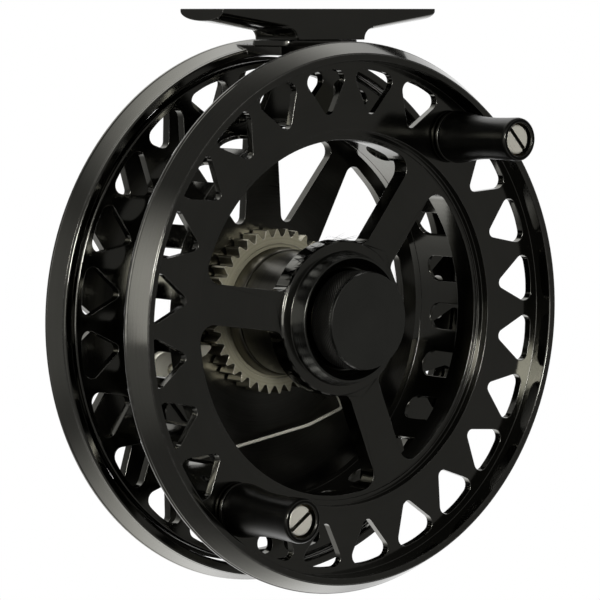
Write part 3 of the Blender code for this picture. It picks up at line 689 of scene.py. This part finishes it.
# ---- click work --------------------------------------------------------------
def make_click():
    """Pawl on its pin, slotted spring post, spring anchor and the panel's screw."""
    pivot = Vector(JOINTS["pawl_rock"]["pos_m"])
    px, pz = (pivot.x - AXIS.x) / MM, (pivot.z - AXIS.z) / MM
    towards = math.degrees(math.atan2(-pz, -px))
    clear_of_teeth = 0.55
    nose = math.hypot(px, pz) - GEAR_TIP - clear_of_teeth
    head = [(x - 1.1, z + 0.95) for x, z in (polar(3.3, 5 * n) for n in range(72))]
    outline = [(nose, 0.35), (nose, -0.35), (nose - 1.8, -1.1), (3.4, -1.3)]
    outline += head[64:47:-1]
    outline += [(-5.2, -3.6), (-5.9, -2.5)]
    outline += head[36:3:-1]
    outline += [(nose - 1.8, 1.1)]
    bm = prism_mesh([spun(outline, towards)], 29.3, 31.5)
    bm = carved(bm, [("DIFFERENCE", turned_mesh(rod_profile(1.05, 28, 33), PIN))])
    piece("pawl", soften(bm, 0.3, segments=4), "pawl", ["click_pawl"],
          [POLISHED, POLISHED], place=(px, 0, pz))
    pin = turned_mesh([(0, 28.4), (0.6, 28.4), (0.8, 28.6), (0.8, PIN_BACK), (0, PIN_BACK)],
                      FINE_PIN)
    piece("pawl_pivot_pin", soften(pin, 0.05), "frame", ["pawl_pin"],
          [POLISHED, STEEL_EDGE], place=(px, 0, pz))
    post = turned_mesh([(0, 28.0), (3.2, 28.0), (3.4, 28.2), (3.4, 29.6), (1.5, 29.6),
                        (1.5, PIN_BACK), (0, PIN_BACK)], PIN)
    slot = prism_mesh([spun(bar(4, 0.6), -51)], 27, 29.0)
    bm = carved(post, [("DIFFERENCE", slot)])
    bm.normal_update()
    paint(bm, lambda middle, normal: (28.1 < middle.y < 28.95 and abs(normal.y) < 0.1
                                      and off_axis(middle) < 3.0))
    post = black("slotted_post", soften(bm, 0.1), "frame", ["spring_post"],
                 place=(-27.0, 0, -20.0))
    post.data.materials.append(NICKEL)
    anchor = turned_mesh([(0, 29.2), (0.8, 29.2), (1.0, 29.4), (1.0, PIN_BACK),
                          (0, PIN_BACK)], FINE_PIN)
    piece("anchor_pin", soften(anchor, 0.05), "frame", ["spring_anchor"],
          [POLISHED, STEEL_EDGE], place=(19.1, 0, -17.4))
    head = turned_mesh([(0, 31.6), (1.9, 31.6), (2.2, 31.9), (2.2, PIN_BACK), (0, PIN_BACK)],
                       PIN)
    slot = prism_mesh([spun(bar(3, 0.35), 30)], 31, 32.1)
    piece("slotted_panel_screw", soften(carved(head, [("DIFFERENCE", slot)]), 0.07), "frame",
          ["panel_screw"], [STEEL, STEEL_EDGE], place=(25.0, 0, -38.4))


def wire_path(route, radius=1.1, steps=8):
    """Round each bend of a route."""
    spots = [Vector(spot) for spot in route]
    path = [spots[0]]
    for before, here, after in zip(spots, spots[1:], spots[2:]):
        back, ahead = before - here, after - here
        reach = min(radius, back.length / 2.2, ahead.length / 2.2)
        start = here + back.normalized() * reach
        end = here + ahead.normalized() * reach
        for n in range(steps + 1):
            t = n / steps
            path.append(start * (1 - t) ** 2 + here * 2 * t * (1 - t) + end * t ** 2)
    path.append(spots[-1])
    return path


def make_spring(sides=14, radius=0.35, y=30.4):
    """Round wire swept along the bent path."""
    route = [(17.3, -17.1), (20.2, -22.6), (10.6, -25.7), (-8.6, -28.7), (-20.5, -30.6),
             (-26.0, -29.0), (-30.8, -24.5), (-33.0, -20.0), (-33.4, -16.6)]
    path = wire_path(route)
    bm = bmesh.new()
    loops = []
    for n, spot in enumerate(path):
        along = (path[min(n + 1, len(path) - 1)] - path[max(n - 1, 0)]).normalized()
        across = Vector((-along.y, along.x))
        loop = []
        for k in range(sides):
            u, w = polar(radius, 360 * k / sides)
            loop.append(bm.verts.new((spot.x + across.x * u, y + w, spot.y + across.y * u)))
        loops.append(loop)
    skin(bm, loops)
    bm.faces.new(loops[0])
    bm.faces.new(list(reversed(loops[-1])))
    piece("wire_spring", bm, "frame", ["click_spring"], [NICKEL])


def dress_hidden():
    """Give the enclosed CAD nodes their finishes."""
    for name, mat, slot in (("knob_insert", BRASS, "brass"),
                            ("spring_washer", STEEL, "steel"),
                            ("pressure_plate", STEEL, "steel"),
                            ("friction_washer", fibre(), "friction_fibre")):
        node = frame["nodes"][name]
        node.data.materials.clear()
        node.data.materials.append(mat)


def fibre():
    mat, nodes, links = new_material("friction_fibre_weave")
    shader = nodes["Principled BSDF"]
    shader.inputs["Roughness"].default_value = 0.85
    grain = nodes.new("ShaderNodeTexNoise")
    grain.inputs["Scale"].default_value = 1500.0
    tone = colour_ramp(nodes, links, grain.outputs["Fac"], 0.0, 1.0,
                       (0.12, 0.085, 0.05), (0.32, 0.25, 0.16))
    links.new(tone, shader.inputs["Base Color"])
    return mat


# ---- floor, light and camera ---------------------------------------------------
def make_floor():
    """White underlay that only the camera sees: it lights nothing and mirrors in nothing."""
    mat, nodes, links = new_material("pale_floor")
    shader = nodes["Principled BSDF"]
    shader.inputs["Base Color"].default_value = (0, 0, 0, 1)
    shader.inputs["Specular IOR Level"].default_value = 0.0
    shader.inputs["Emission Color"].default_value = (1, 1, 1, 1)
    shader.inputs["Emission Strength"].default_value = 1.0
    bm = bmesh.new()
    bmesh.ops.create_circle(bm, cap_ends=True, radius=0.9, segments=128)
    mesh = bpy.data.meshes.new("floor")
    bm.to_mesh(mesh)
    bm.free()
    mesh.materials.append(mat)
    floor = bpy.data.objects.new("floor", mesh)
    floor.location = (0, 0.15, CAD_BOX[0][2] - 0.02)
    floor.visible_glossy = floor.visible_diffuse = floor.visible_shadow = False
    bpy.context.collection.objects.link(floor)


def make_world():
    """White to the camera; to the reel, bright behind, dark at the left rear, dim in front."""
    world = bpy.data.worlds.new("studio")
    bpy.context.scene.world = world
    world.use_nodes = True
    nodes, links = world.node_tree.nodes, world.node_tree.links
    nodes.clear()

    def maths(operation, first, second):
        node = nodes.new("ShaderNodeMath")
        node.operation = operation
        links.new(first, node.inputs[0])
        if isinstance(second, float):
            node.inputs[1].default_value = second
        elif second:
            links.new(second, node.inputs[1])
        return node.outputs[0]

    def ramp(value, low, high, kind="SMOOTHERSTEP"):
        node = nodes.new("ShaderNodeMapRange")
        node.interpolation_type = kind
        node.inputs["From Min"].default_value = low
        node.inputs["From Max"].default_value = high
        links.new(value, node.inputs["Value"])
        return node.outputs[0]

    coords = nodes.new("ShaderNodeTexCoord")
    parts = nodes.new("ShaderNodeSeparateXYZ")
    links.new(coords.outputs["Generated"], parts.inputs[0])
    behind = ramp(parts.outputs["Y"], 0.1, 0.56)
    height = maths("ABSOLUTE", parts.outputs["Z"], None)
    beside = ramp(maths("ADD", parts.outputs["X"], maths("MULTIPLY", height, 0.6)),
                  -0.6, 0.6, "SMOOTHSTEP")
    extra = maths("MULTIPLY", ramp(height, 0.45, 0.85), OVERHEAD)
    bright = maths("MULTIPLY", maths("MULTIPLY", behind, beside),
                   maths("ADD", extra, BACKDROP))
    leftward = maths("MULTIPLY", parts.outputs["X"], -1.0)
    spill = maths("MULTIPLY", ramp(leftward, 0.65, 1.0), LEFT_SPILL)
    room = nodes.new("ShaderNodeBackground")
    room.inputs["Color"].default_value = (1, 1, 1, 1)
    links.new(maths("ADD", maths("ADD", bright, spill), ROOM), room.inputs["Strength"])
    seen = nodes.new("ShaderNodeBackground")
    seen.inputs["Color"].default_value = (1, 1, 1, 1)
    path = nodes.new("ShaderNodeLightPath")
    pick = nodes.new("ShaderNodeMixShader")
    links.new(path.outputs["Is Camera Ray"], pick.inputs[0])
    links.new(room.outputs[0], pick.inputs[1])
    links.new(seen.outputs[0], pick.inputs[2])
    out = nodes.new("ShaderNodeOutputWorld")
    links.new(pick.outputs[0], out.inputs[0])


def softbox(name, place, aim, width, height, radiance, top=1.0):
    """Camera-hidden panel; top is how much of its radiance is left at its upper edge."""
    mat, nodes, links = new_material(name)
    nodes.clear()
    coords = nodes.new("ShaderNodeTexCoord")
    parts = nodes.new("ShaderNodeSeparateXYZ")
    links.new(coords.outputs["UV"], parts.inputs[0])
    fade = nodes.new("ShaderNodeMapRange")
    fade.interpolation_type = "SMOOTHSTEP"
    fade.inputs["From Min"].default_value = 0.4
    fade.inputs["From Max"].default_value = 1.0
    fade.inputs["To Min"].default_value = radiance
    fade.inputs["To Max"].default_value = radiance * top
    links.new(parts.outputs["Y"], fade.inputs["Value"])
    glow = nodes.new("ShaderNodeEmission")
    links.new(fade.outputs[0], glow.inputs["Strength"])
    out = nodes.new("ShaderNodeOutputMaterial")
    links.new(glow.outputs[0], out.inputs[0])
    bm = bmesh.new()
    uv = bm.loops.layers.uv.new("panel")
    corners = [(-1, -1), (1, -1), (1, 1), (-1, 1)]
    face = bm.faces.new([bm.verts.new((x * width / 2, y * height / 2, 0))
                         for x, y in corners])
    for loop, (x, y) in zip(face.loops, corners):
        loop[uv].uv = ((x + 1) / 2, (y + 1) / 2)
    mesh = bpy.data.meshes.new(name)
    bm.to_mesh(mesh)
    bm.free()
    mesh.materials.append(mat)
    box = bpy.data.objects.new(name, mesh)
    box.location = place
    box.rotation_euler = (Vector(aim) - Vector(place)).to_track_quat("Z", "Y").to_euler()
    box.visible_camera = False
    bpy.context.collection.objects.link(box)


def make_camera():
    cam = bpy.data.cameras.new("camera")
    cam.lens = 199.3
    cam.sensor_width = 36.0
    cam.clip_start = 0.02
    obj = bpy.data.objects.new("camera", cam)
    obj.location = AXIS + Vector((-447.0, -526.0, 64.35)) * MM
    target = AXIS + Vector((-16.77, 0.0, 5.21)) * MM
    obj.rotation_euler = (target - obj.location).to_track_quat("-Z", "Y").to_euler()
    bpy.context.collection.objects.link(obj)
    bpy.context.scene.camera = obj


make_camera()
make_front_flange()
make_arbor()
make_rear_flange()
make_hub()
make_gear()
make_handle(1, SPOOL_TURN, slot_angle=-48)
make_handle(2, SPOOL_TURN + 180, slot_angle=35)
make_knob()
make_frame_ring()
make_back_plate()
make_foot()
make_spindle()
make_click()
make_spring()
dress_hidden()
make_floor()
make_world()
softbox("left_softbox", AXIS + Vector((-1.1, -0.42, 0.42)), AXIS, 0.9, 1.3, 2.3, top=0.1)
softbox("key_lamp", AXIS + Vector((-0.74, -1.02, 0.31)), AXIS, 0.3, 0.3, 30.0)
bpy.context.scene.view_settings.view_transform = "Standard"
